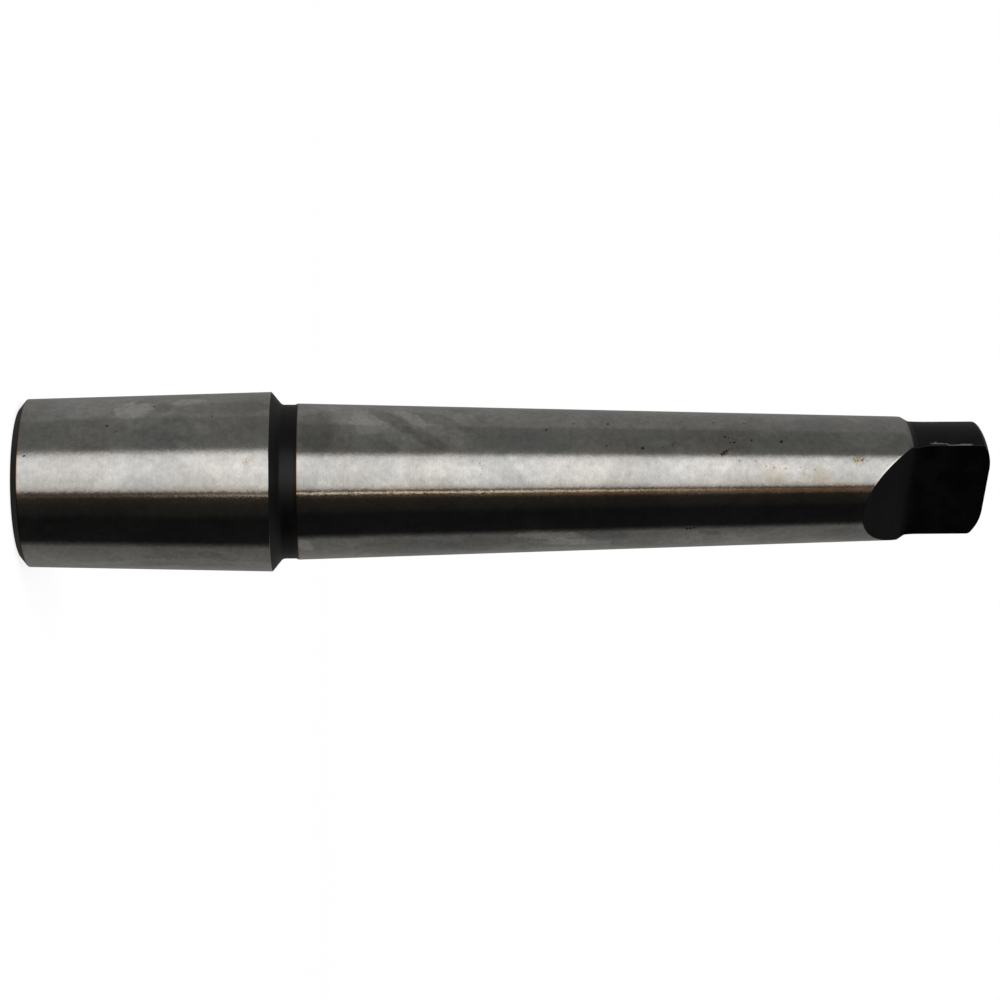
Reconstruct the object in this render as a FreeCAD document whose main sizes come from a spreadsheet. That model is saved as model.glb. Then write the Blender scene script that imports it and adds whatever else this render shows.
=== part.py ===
import FreeCAD, Part

import math
import os

import Sketcher

# Drill chuck arbor, turned from one piece of steel. It stands on the front
# face of its chuck taper, and the tang of its shank points up.
# Row frame: origin in the middle of that front face, +Z along the axis towards
# the tang, and the two milled flats of the tang face +Y and -Y.
# Sizes are millimetres, apart from the angles, which are degrees, and the two
# tapers, which are the change of diameter for each millimetre of length.

SIZES = {
    # Self-holding taper shank No. 2, ISO 296
    "gauge_diameter": 17.780,
    "shank_taper": 0.04995,
    "gauge_to_tang_end": 75.0,
    "gauge_to_large_end": 5.0,
    # Tang, measured back from its end
    "tang_diameter": 13.44,
    "tang_barrel_length": 8.9,
    "shoulder_width": 0.95,
    "tang_thickness": 5.3,
    "flat_length": 8.65,
    "runout_angle": 35.0,
    "runout_blend": 4.5,
    "nose_length": 1.4,
    "nose_run": 2.95,
    "nose_corner": 0.6,
    # Neck groove between the two tapers
    "neck_length": 3.05,
    "neck_diameter": 17.76,
    "neck_fillet": 0.65,
    "neck_rise": 0.35,
    "back_angle": 51.0,
    # Chuck taper No. 3, measured from the front face
    "chuck_gauge_diameter": 20.599,
    "chuck_gauge_length": 26.4,
    "chuck_taper": 0.05325,
    "chuck_length": 28.45,
    "front_chamfer": 0.8,
    "front_chamfer_depth": 1.0,
    # Centre holes that the arbor was turned and ground between
    "centre_angle": 60.0,
    "drill_point_angle": 118.0,
    "front_cone_diameter": 6.7,
    "front_pilot_diameter": 3.15,
    "front_pilot_depth": 6.6,
    "tang_cone_diameter": 4.25,
    "tang_pilot_diameter": 2.0,
    "tang_pilot_depth": 4.2,
}

# What follows from the sizes, as expressions on the sheet. Heights are
# measured from the front face, and radii from the axis.
SHANK_START = "(sizes.chuck_length + sizes.neck_length)"
TOTAL = f"({SHANK_START} + sizes.gauge_to_large_end + sizes.gauge_to_tang_end)"
BARREL_START = f"({TOTAL} - sizes.tang_barrel_length)"
SHANK_END = f"({BARREL_START} - sizes.shoulder_width)"
SHANK_END_RADIUS = (
    "((sizes.gauge_diameter - sizes.shank_taper"
    " * (sizes.gauge_to_tang_end - sizes.tang_barrel_length - sizes.shoulder_width)) / 2)"
)
SHANK_START_RADIUS = "((sizes.gauge_diameter + sizes.shank_taper * sizes.gauge_to_large_end) / 2)"
CHUCK_FRONT_RADIUS = (
    "((sizes.chuck_gauge_diameter"
    " - sizes.chuck_taper * (sizes.chuck_gauge_length - sizes.front_chamfer)) / 2)"
)
CHUCK_BACK_RADIUS = (
    "((sizes.chuck_gauge_diameter"
    " + sizes.chuck_taper * (sizes.chuck_length - sizes.chuck_gauge_length)) / 2)"
)
NECK_RADIUS = "(sizes.neck_diameter / 2)"
TANG_RADIUS = "(sizes.tang_diameter / 2)"
NOSE_RADIUS = f"({TANG_RADIUS} - sizes.nose_run)"
FLAT_OFFSET = "(sizes.tang_thickness / 2)"

# How a sketch numbers the ends of an edge, and its own two axes
START, END = range(1, 3)
H_AXIS, V_AXIS = range(-1, -3, -1)

# Every cut takes off at least this volume, in cubic millimetres
LEAST_CUT = 1.0


def make_sheet(doc):
    """The spreadsheet of driving sizes: names in column A, values in column B."""
    sheet = doc.addObject("Spreadsheet::Sheet", "sizes")
    for row, (name, value) in enumerate(SIZES.items(), start=1):
        sheet.set(f"A{row}", name)
        sheet.set(f"B{row}", str(value))
        sheet.setAlias(f"B{row}", name)
    doc.recompute()
    return sheet


class Outline:
    """A closed outline on one of a body's origin planes, drawn edge after edge.

    A position is a pair of expressions on the sheet: the distance to the right
    of the sketch's origin, and the height above it.
    """

    def __init__(self, body, name, role, sheet):
        self.sheet = sheet
        self.sketch = body.newObject("Sketcher::SketchObject", name)
        plane = [f for f in body.Origin.OriginFeatures if f.Role == role][0]
        self.sketch.AttachmentSupport = [(plane, "")]
        self.sketch.MapMode = "FlatFace"

    def value(self, expression):
        return float(self.sheet.evalExpression(expression.replace("sizes.", "")))

    def line(self, start, end):
        """A line between two (right, up) points, which are only a first guess."""
        ends = [FreeCAD.Vector(right, up, 0) for right, up in (start, end)]
        return self.sketch.addGeometry(Part.LineSegment(*ends))

    def arc(self, centre, radius, first, last):
        """An anticlockwise arc, angles in radians, as a first guess."""
        circle = Part.Circle(FreeCAD.Vector(*centre, 0), FreeCAD.Vector(0, 0, 1), radius)
        piece = Part.ArcOfCircle(circle, first, last)
        return self.sketch.addGeometry(piece)

    def tie(self, kind, *places):
        self.sketch.addConstraint(Sketcher.Constraint(kind, *places))

    def size(self, name, kind, places, expression, unit=""):
        """A named dimension that follows an expression on the sheet."""
        value = self.value(expression)
        if unit == "deg":
            value = math.radians(value)
        number = self.sketch.addConstraint(Sketcher.Constraint(kind, *places, value))
        self.sketch.renameConstraint(number, name)
        bound = f"{expression} * 1 deg" if unit == "deg" else expression
        self.sketch.setExpression(f"Constraints.{name}", bound)

    def fix(self, name, edge, end, right, up):
        """Fixes one end of an edge at a position on the sheet."""
        if right == "0":
            self.tie("PointOnObject", edge, end, V_AXIS)
        else:
            self.size(f"{name}_right", "DistanceX", (H_AXIS, START, edge, end), right)
        if up == "0":
            self.tie("PointOnObject", edge, end, H_AXIS)
        else:
            self.size(f"{name}_up", "DistanceY", (H_AXIS, START, edge, end), up)

    def polygon(self, corners):
        """A closed outline of straight lines through named corners."""
        points = [(self.value(right), self.value(up)) for _, right, up in corners]
        edges = [
            self.line(points[i], points[(i + 1) % len(points)]) for i in range(len(points))
        ]
        for i, edge in enumerate(edges):
            self.tie("Coincident", edge, END, edges[(i + 1) % len(edges)], START)
            name, right, up = corners[i]
            self.fix(name, edge, START, right, up)


def turned_outline(body, sheet):
    """Half of the arbor's long section, from the front face up to the tang."""
    outline = Outline(body, "turned_outline", "XZ_Plane", sheet)
    value = outline.value
    total = value(TOTAL)
    front_face_radius = f"({CHUCK_FRONT_RADIUS} - sizes.front_chamfer_depth)"
    corners = [
        ("front_centre", "0", "0"),
        ("front_face", front_face_radius, "0"),
        ("chuck_front", CHUCK_FRONT_RADIUS, "sizes.front_chamfer"),
        ("chuck_back", CHUCK_BACK_RADIUS, "sizes.chuck_length"),
    ]
    points = [(value(right), value(up)) for _, right, up in corners]
    head = [outline.line(points[i], points[i + 1]) for i in range(3)]

    # The back of the chuck taper falls to the groove, which ends in a low rise
    neck = value(NECK_RADIUS)
    fillet = value("sizes.neck_fillet")
    angle = math.radians(value("sizes.back_angle"))
    foot = value("sizes.chuck_length") + (value(CHUCK_BACK_RADIUS) - neck) / math.tan(angle)
    tangent = fillet * math.tan(angle / 2)
    slope_end = (neck + tangent * math.sin(angle), foot - tangent * math.cos(angle))
    groove_end = value(f"{SHANK_START} - sizes.neck_rise")
    back = outline.line(points[3], slope_end)
    neck_arc = outline.arc((neck + fillet, foot + tangent), fillet, math.pi, math.pi + angle)
    groove = outline.line((neck, foot + tangent), (neck, groove_end))

    # The shank's taper, the shoulder at its small end and the tang's barrel
    shank_corners = [
        ("rise_foot", NECK_RADIUS, f"({SHANK_START} - sizes.neck_rise)"),
        ("shank_start", SHANK_START_RADIUS, SHANK_START),
        ("shank_end", SHANK_END_RADIUS, SHANK_END),
        ("barrel_start", TANG_RADIUS, BARREL_START),
        ("barrel_end", TANG_RADIUS, f"({TOTAL} - sizes.nose_length)"),
    ]
    shank_points = [(value(right), value(up)) for _, right, up in shank_corners]
    shank = [outline.line(shank_points[i], shank_points[i + 1]) for i in range(4)]

    # The nose: a tight arc at the barrel runs into a wide one at the end face
    tang = value(TANG_RADIUS)
    length = value("sizes.nose_length")
    run = value("sizes.nose_run")
    corner = value("sizes.nose_corner")
    crown = (length**2 + (run - corner) ** 2 - corner**2) / (2 * (length - corner))
    meeting = math.atan2(crown - length, run - corner)
    corner_arc = outline.arc((tang - corner, total - length), corner, 0, meeting)
    crown_arc = outline.arc((tang - run, total - crown), crown, meeting, math.pi / 2)
    end_face = outline.line((tang - run, total), (0, total))
    axis = outline.line((0, total), (0, 0))

    for before, after in (
        (head[0], head[1]),
        (head[1], head[2]),
        (head[2], back),
        (groove, shank[0]),
        (shank[0], shank[1]),
        (shank[1], shank[2]),
        (shank[2], shank[3]),
        (end_face, axis),
        (axis, head[0]),
    ):
        outline.tie("Coincident", before, END, after, START)
    for before, before_end, after, after_end in (
        (back, END, neck_arc, END),
        (neck_arc, START, groove, START),
        (shank[3], END, corner_arc, START),
        (corner_arc, END, crown_arc, START),
        (crown_arc, END, end_face, START),
    ):
        outline.tie("Tangent", before, before_end, after, after_end)
    for edge, (name, right, up) in zip(head, corners):
        outline.fix(name, edge, START, right, up)
    outline.fix("chuck_back", back, START, *corners[3][1:])
    outline.size("back_angle", "Angle", (back,), "(90 + sizes.back_angle)", "deg")
    outline.size("neck_fillet", "Radius", (neck_arc,), "sizes.neck_fillet")
    outline.tie("Vertical", groove)
    for edge, (name, right, up) in zip(shank, shank_corners):
        outline.fix(name, edge, START, right, up)
    outline.fix("barrel_end", shank[3], END, *shank_corners[4][1:])
    outline.size("nose_corner", "Radius", (corner_arc,), "sizes.nose_corner")
    outline.size("nose_right", "DistanceX", (H_AXIS, START, end_face, START), NOSE_RADIUS)
    outline.fix("tang_end", end_face, END, "0", TOTAL)
    return outline.sketch


def flat_outline(body, sheet):
    """What the cutter takes off one side of the tang, seen along X."""
    outline = Outline(body, "flat_outline", "YZ_Plane", sheet)
    value = outline.value
    top = f"({TOTAL} + sizes.nose_length)"
    beyond = "(sizes.gauge_diameter / 2)"
    crease = f"({TOTAL} - sizes.flat_length)"
    slope_foot = f"({crease} - ({beyond} - {FLAT_OFFSET}) / tan(sizes.runout_angle * 1 deg))"

    offset = value(FLAT_OFFSET)
    blend = value("sizes.runout_blend")
    angle = math.radians(value("sizes.runout_angle"))
    tangent = blend * math.tan(angle / 2)
    flat_end = (offset, value(crease) + tangent)
    slope_start = (
        offset + tangent * math.sin(angle),
        value(crease) - tangent * math.cos(angle),
    )
    outer_foot = (value(beyond), value(slope_foot))
    outer_top = (value(beyond), value(top))

    flat = outline.line((offset, value(top)), flat_end)
    blend_arc = outline.arc(
        (offset + blend, value(crease) + tangent), blend, math.pi, math.pi + angle
    )
    slope = outline.line(slope_start, outer_foot)
    outer = outline.line(outer_foot, outer_top)
    lid = outline.line(outer_top, (offset, value(top)))
    outline.tie("Coincident", slope, END, outer, START)
    outline.tie("Coincident", outer, END, lid, START)
    outline.tie("Coincident", lid, END, flat, START)
    outline.tie("Tangent", flat, END, blend_arc, START)
    outline.tie("Tangent", blend_arc, END, slope, START)
    outline.tie("Vertical", flat)
    outline.fix("flat_top", flat, START, FLAT_OFFSET, top)
    outline.fix("slope_foot", slope, END, beyond, slope_foot)
    outline.fix("outer_top", outer, END, beyond, top)
    outline.size("blend", "Radius", (blend_arc,), "sizes.runout_blend")
    outline.size("slope_angle", "Angle", (slope,), "(sizes.runout_angle - 90)", "deg")
    return outline.sketch


def centre_outline(body, sheet, end, face, inward):
    """Half section of a centre hole: its cone, pilot drilling and drill point."""
    cone = f"(sizes.{end}_cone_diameter / 2)"
    pilot = f"(sizes.{end}_pilot_diameter / 2)"
    cone_depth = f"(({cone} - {pilot}) / tan(sizes.centre_angle / 2 * 1 deg))"
    point_depth = f"(sizes.{end}_pilot_depth + {pilot} / tan(sizes.drill_point_angle / 2 * 1 deg))"
    outline = Outline(body, f"{end}_centre_outline", "XZ_Plane", sheet)

    def height(depth):
        """The height that lies this deep below the face."""
        return depth if face == "0" else f"({face} {inward} {depth})"

    outline.polygon(
        [
            ("mouth_centre", "0", face),
            ("mouth", cone, face),
            ("cone_foot", pilot, height(cone_depth)),
            ("pilot_foot", pilot, height(f"sizes.{end}_pilot_depth")),
            ("point", "0", height(point_depth)),
        ]
    )
    return outline.sketch


def volume_after_cut(body, before, what):
    """The body's volume after a cut, which must have taken something off."""
    volume = body.Tip.Shape.Volume
    if volume > before - LEAST_CUT:
        raise RuntimeError(f"{what} took nothing off: {before:.3f} to {volume:.3f} mm3")
    return volume


def make_arbor(doc, sheet):
    """The arbor: one turned form, two milled flats and two centre holes."""
    body = doc.addObject("PartDesign::Body", "arbor")
    body.Label = "arbor"

    turned = body.newObject("PartDesign::Revolution", "turned_form")
    sketch = turned_outline(body, sheet)
    turned.Profile = sketch
    turned.ReferenceAxis = (sketch, ["V_Axis"])
    turned.Angle = 360
    doc.recompute()
    volume = body.Tip.Shape.Volume

    flat = body.newObject("PartDesign::Pocket", "tang_flat")
    flat.Profile = flat_outline(body, sheet)
    flat.SideType = "Symmetric"
    flat.setExpression("Length", "sizes.gauge_diameter * 2")
    doc.recompute()
    volume = volume_after_cut(body, volume, "tang_flat")

    pair = body.newObject("PartDesign::Mirrored", "tang_flats")
    pair.Originals = [flat]
    plane = [f for f in body.Origin.OriginFeatures if f.Role == "XZ_Plane"][0]
    pair.MirrorPlane = (plane, [""])
    body.Tip = pair
    doc.recompute()
    volume = volume_after_cut(body, volume, "tang_flats")

    for end, face, inward in (("front", "0", "+"), ("tang", TOTAL, "-")):
        hole = body.newObject("PartDesign::Groove", f"{end}_centre_hole")
        sketch = centre_outline(body, sheet, end, face, inward)
        hole.Profile = sketch
        hole.ReferenceAxis = (sketch, ["V_Axis"])
        hole.Angle = 360
        doc.recompute()
        volume = volume_after_cut(body, volume, hole.Name)
    return body


def check(doc, parts):
    """Stops if an object failed, or a part is not one valid closed solid."""
    failed = [o.Name for o in doc.Objects if "Invalid" in o.State or "Error" in o.State]
    if failed:
        raise RuntimeError(f"these objects failed: {failed}")
    for part in parts:
        shape = part.Shape
        if shape.isNull() or not shape.isValid() or len(shape.Solids) != 1:
            raise RuntimeError(f"{part.Label} is not one valid solid")


def main():
    doc = FreeCAD.newDocument("drill_chuck_arbor")
    sheet = make_sheet(doc)
    parts = [make_arbor(doc, sheet)]
    doc.recompute()
    check(doc, parts)
    os.makedirs("parts", exist_ok=True)
    for part in parts:
        part.Shape.exportStep(f"parts/{part.Label}.step")
        box = part.Shape.BoundBox
        print(
            f"{part.Label}: {part.Shape.Volume:.2f} mm3, {len(part.Shape.Faces)} faces,"
            f" {box.XLength:.3f} x {box.YLength:.3f} x {box.ZLength:.3f} mm"
        )


main()
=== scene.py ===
import math

import bpy
import numpy as np
from mathutils import Matrix, Vector


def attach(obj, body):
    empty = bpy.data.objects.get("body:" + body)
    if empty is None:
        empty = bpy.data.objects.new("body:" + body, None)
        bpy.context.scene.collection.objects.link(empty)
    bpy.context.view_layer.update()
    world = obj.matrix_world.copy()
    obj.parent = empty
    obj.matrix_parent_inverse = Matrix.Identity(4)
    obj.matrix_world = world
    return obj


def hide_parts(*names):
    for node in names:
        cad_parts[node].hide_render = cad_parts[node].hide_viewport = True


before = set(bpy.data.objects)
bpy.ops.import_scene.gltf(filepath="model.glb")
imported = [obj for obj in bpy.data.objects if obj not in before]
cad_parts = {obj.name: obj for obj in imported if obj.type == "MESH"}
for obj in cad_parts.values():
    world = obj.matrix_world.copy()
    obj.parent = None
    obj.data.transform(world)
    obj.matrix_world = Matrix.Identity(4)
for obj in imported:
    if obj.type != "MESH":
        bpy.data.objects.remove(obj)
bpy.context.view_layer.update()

# Looks of a drill chuck arbor that stands on the front face of its chuck
# taper, with the tang up. Sizes are millimetres, as on the arbor's drawing,
# and MM turns them into the frame's metres.
MM = 0.001

# Shank: self-holding taper No. 2
GAUGE_DIAMETER = 17.780
SHANK_TAPER = 0.04995
GAUGE_TO_TANG_END = 75.0
GAUGE_TO_LARGE_END = 5.0

# Tang
TANG_RADIUS = 6.72
BARREL_LENGTH = 8.9
SHOULDER_WIDTH = 0.95
FLAT_OFFSET = 2.65
FLAT_LENGTH = 8.65
RUNOUT_ANGLE = math.radians(35.0)
RUNOUT_SLOPE = math.tan(RUNOUT_ANGLE)
RUNOUT_BLEND = 4.5
NOSE_LENGTH = 1.4
NOSE_RUN = 2.95
NOSE_CORNER = 0.6

# Neck and chuck taper
NECK_LENGTH = 3.05
NECK_RADIUS = 8.88
NECK_FILLET = 0.65
NECK_RISE = 0.35
BACK_ANGLE = math.radians(51.0)
CHUCK_GAUGE_DIAMETER = 20.599
CHUCK_GAUGE_LENGTH = 26.4
CHUCK_TAPER = 0.05325
CHUCK_LENGTH = 28.45
FRONT_CHAMFER = 0.8
FRONT_CHAMFER_DEPTH = 1.0

# Centre holes: mouth radius, pilot radius, pilot depth
CENTRE_SLOPE = math.tan(math.radians(30.0))
POINT_SLOPE = math.tan(math.radians(59.0))
FRONT_CENTRE = (3.35, 1.575, 6.6)
TANG_CENTRE = (2.125, 1.0, 4.2)

# The end face's outline closes in on its centre hole's mouth at this distance
MOUTH_MARGIN = 0.4

# Heights above the front face
SHANK_START = CHUCK_LENGTH + NECK_LENGTH
TOTAL = SHANK_START + GAUGE_TO_LARGE_END + GAUGE_TO_TANG_END
BARREL_START = TOTAL - BARREL_LENGTH
SHANK_END = BARREL_START - SHOULDER_WIDTH
NOSE_START = TOTAL - NOSE_LENGTH
CREASE = TOTAL - FLAT_LENGTH
# The blend between the flat and its run-out
BLEND_TOP = CREASE + RUNOUT_BLEND * math.tan(RUNOUT_ANGLE / 2)
BLEND_FOOT = BLEND_TOP - RUNOUT_BLEND * math.sin(RUNOUT_ANGLE)
# The grinding ends half-way up the shoulder
GROUND_END = BARREL_START - 0.5

# The steep part of the nose's corner is drawn in rows, the rest in columns
STEEP_ANGLE = math.radians(40.0)
STEEP_END = NOSE_START + NOSE_CORNER * math.sin(STEEP_ANGLE)
STEEP_RADIUS = TANG_RADIUS - NOSE_CORNER * (1 - math.cos(STEEP_ANGLE))

# Roundings: the shoulder's two edges, the other turned edges, those at the
# mouth and foot of a centre hole, and the broken edge round each flat
SHOULDER_ROUNDING = 0.3
RISE_ROUNDING = 0.2
CHAMFER_ROUNDING = 0.15
CORNER_ROUNDING = 0.12
CONE_ROUNDING = 0.1
PILOT_ROUNDING = 0.08
EDGE_BREAK = 0.07

# A hole's point is closed by a fan of faces round a ring of this radius
POINT_RING = 0.02

# How finely round edges and rings are drawn
BREAK_STEPS = 4
NECK_STEPS = 8
NOSE_STEPS = 26
RING_HEIGHT = 1.0
ARC_COLUMNS = 24
END_COLUMNS = 22
SLOPE_ROWS = 14
SHOULDER_ROWS = 10
RUNOUT_ROWS = 10
FLAT_ROWS = 18
CORNER_ROWS = 4

# Finishes, by their place in the mesh's list of materials
GROUND, BLACK, MILLED = 0, 1, 2


def cone_radius(height):
    """Radius of the shank's taper at a height."""
    gauge_height = SHANK_START + GAUGE_TO_LARGE_END
    return (GAUGE_DIAMETER - SHANK_TAPER * (height - gauge_height)) / 2


def chuck_radius(height):
    """Radius of the chuck taper at a height."""
    return (CHUCK_GAUGE_DIAMETER + CHUCK_TAPER * (height - CHUCK_GAUGE_LENGTH)) / 2


def taper_radius(height):
    """Radius of the chuck taper or of the shank, whichever is at this height."""
    return chuck_radius(height) if height < CHUCK_LENGTH else cone_radius(height)


def unit(vector):
    """The vector at a length of 1."""
    vector = np.asarray(vector, float)
    return vector / np.linalg.norm(vector)


def rounded_path(corners, longest=RING_HEIGHT):
    """Points and outward normals along a path of (radius, height, rounding, finish)
    corners. The outside lies to the right of the path's direction. A corner's
    finish is that of the faces from there on."""
    points = []

    def add(place, normal, finish):
        points.append((*map(float, place), *map(float, normal), finish))

    flat = [np.array(corner[:2], float) for corner in corners]
    ways = [unit(b - a) for a, b in zip(flat, flat[1:])]
    sides = [np.array([way[1], -way[0]]) for way in ways]
    start = flat[0]
    add(start, sides[0], corners[0][3])
    for i, way in enumerate(ways):
        end = flat[i + 1]
        reach = 0.0
        if i + 1 < len(ways) and corners[i + 1][2] > 0:
            turn = math.acos(max(-1.0, min(1.0, float(way @ ways[i + 1]))))
            reach = corners[i + 1][2] * math.tan(turn / 2)
        stop = end - way * reach
        span = np.linalg.norm(stop - start)
        steps = max(1, math.ceil(span / longest))
        for k in range(1, steps + 1):
            add(start + (stop - start) * k / steps, sides[i], corners[i][3])
        if reach > 0:
            cross = way[0] * ways[i + 1][1] - way[1] * ways[i + 1][0]
            radius = corners[i + 1][2]
            centre = stop - sides[i] * radius * np.sign(cross)
            arc_steps = NECK_STEPS if radius > 0.5 else BREAK_STEPS
            for k in range(1, arc_steps + 1):
                side = unit(sides[i] * (1 - k / arc_steps) + sides[i + 1] * (k / arc_steps))
                finish = corners[i + 1][3] if 2 * k > arc_steps else corners[i][3]
                add(centre + side * radius * np.sign(cross), side, finish)
            start = end + ways[i + 1] * reach
        else:
            start = end
            if i + 1 < len(ways):
                add(end, sides[i + 1], corners[i + 1][3])
    return points


def nose_arcs():
    """Centres and radii of the nose's two arcs, and the angle where they meet."""
    crown = (NOSE_LENGTH**2 + (NOSE_RUN - NOSE_CORNER) ** 2 - NOSE_CORNER**2) / (
        2 * (NOSE_LENGTH - NOSE_CORNER)
    )
    corner_centre = (TANG_RADIUS - NOSE_CORNER, NOSE_START)
    crown_centre = (TANG_RADIUS - NOSE_RUN, TOTAL - crown)
    meeting = math.atan2(crown - NOSE_LENGTH, NOSE_RUN - NOSE_CORNER)
    return corner_centre, crown_centre, crown, meeting


def nose_point(radius):
    """Height and normal of the nose where it has this radius."""
    corner_centre, crown_centre, crown, meeting = nose_arcs()
    if radius >= corner_centre[0] + NOSE_CORNER * math.cos(meeting):
        centre, size = corner_centre, NOSE_CORNER
    else:
        centre, size = crown_centre, crown
    across = max(-1.0, min(1.0, (radius - centre[0]) / size))
    up = math.sqrt(1 - across**2)
    return centre[1] + size * up, (across, up)


def flat_distance(height):
    """How far the milled side lies from the axis at a height, and its normal's
    share across and up."""
    if height >= BLEND_TOP:
        return FLAT_OFFSET, (1.0, 0.0)
    if height >= BLEND_FOOT:
        down = (BLEND_TOP - height) / RUNOUT_BLEND
        across = math.sqrt(1 - down**2)
        return FLAT_OFFSET + RUNOUT_BLEND * (1 - across), (across, down)
    return (
        FLAT_OFFSET + (CREASE - height) * RUNOUT_SLOPE,
        (math.cos(RUNOUT_ANGLE), math.sin(RUNOUT_ANGLE)),
    )


class Turned:
    """Radius and normal of the turned form between the shank and the nose."""

    def __init__(self):
        corners = [
            (cone_radius(SHANK_END - 20), SHANK_END - 20, 0, GROUND),
            (cone_radius(SHANK_END), SHANK_END, SHOULDER_ROUNDING, BLACK),
            (TANG_RADIUS, BARREL_START, SHOULDER_ROUNDING, BLACK),
            (TANG_RADIUS, NOSE_START, 0, BLACK),
        ]
        path = [(r, z, across, up) for r, z, across, up, _ in rounded_path(corners, longest=0.05)]
        for angle in np.linspace(0, STEEP_ANGLE, 4 * CORNER_ROWS + 1)[1:]:
            across, up = math.cos(angle), math.sin(angle)
            radius = TANG_RADIUS - NOSE_CORNER * (1 - across)
            path.append((radius, NOSE_START + NOSE_CORNER * up, across, up))
        self.heights = np.array([p[1] for p in path])
        self.values = np.array([[p[0], p[2], p[3]] for p in path])

    def at(self, height):
        """The radius at a height, and the normal's share across and up."""
        radius, across, up = (
            float(np.interp(height, self.heights, self.values[:, k])) for k in range(3)
        )
        size = math.hypot(across, up)
        return radius, (across / size, up / size)


class Skin:
    """Vertices with their normals, and faces with their finish."""

    def __init__(self):
        self.places, self.normals, self.faces, self.finishes = [], [], [], []

    def vertex(self, place, normal):
        """Adds a vertex and gives its number."""
        self.places.append(np.array(place, float))
        self.normals.append(unit(normal))
        return len(self.places) - 1

    def ring_vertex(self, radius, height, normal, angle):
        """A vertex on a turned surface, at an angle about the axis."""
        c, s = math.cos(angle), math.sin(angle)
        return self.vertex((radius * c, radius * s, height), (normal[0] * c, normal[0] * s, normal[1]))

    def face(self, corners, finish):
        """Adds a face, without the corners that repeat the one before."""
        corners = [v for i, v in enumerate(corners) if v != corners[i - 1]]
        if len(corners) > 2:
            self.faces.append(corners)
            self.finishes.append(finish)

    def strip(self, lower, upper, finish, closed):
        """Faces between two rows of vertices, which run anticlockwise seen from above."""
        count = len(lower)
        for i in range(count if closed else count - 1):
            j = (i + 1) % count
            self.face([lower[i], lower[j], upper[j], upper[i]], finish)


def solve_crescent(turned, half_width):
    """The height where the milled side meets the shank at this distance from its middle."""
    low, high = SHANK_END - 12.0, SHANK_END
    for _ in range(60):
        middle = (low + high) / 2
        radius = turned.at(middle)[0]
        distance = flat_distance(middle)[0]
        if radius**2 - distance**2 < half_width**2:
            low = middle
        else:
            high = middle
    return high


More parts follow.
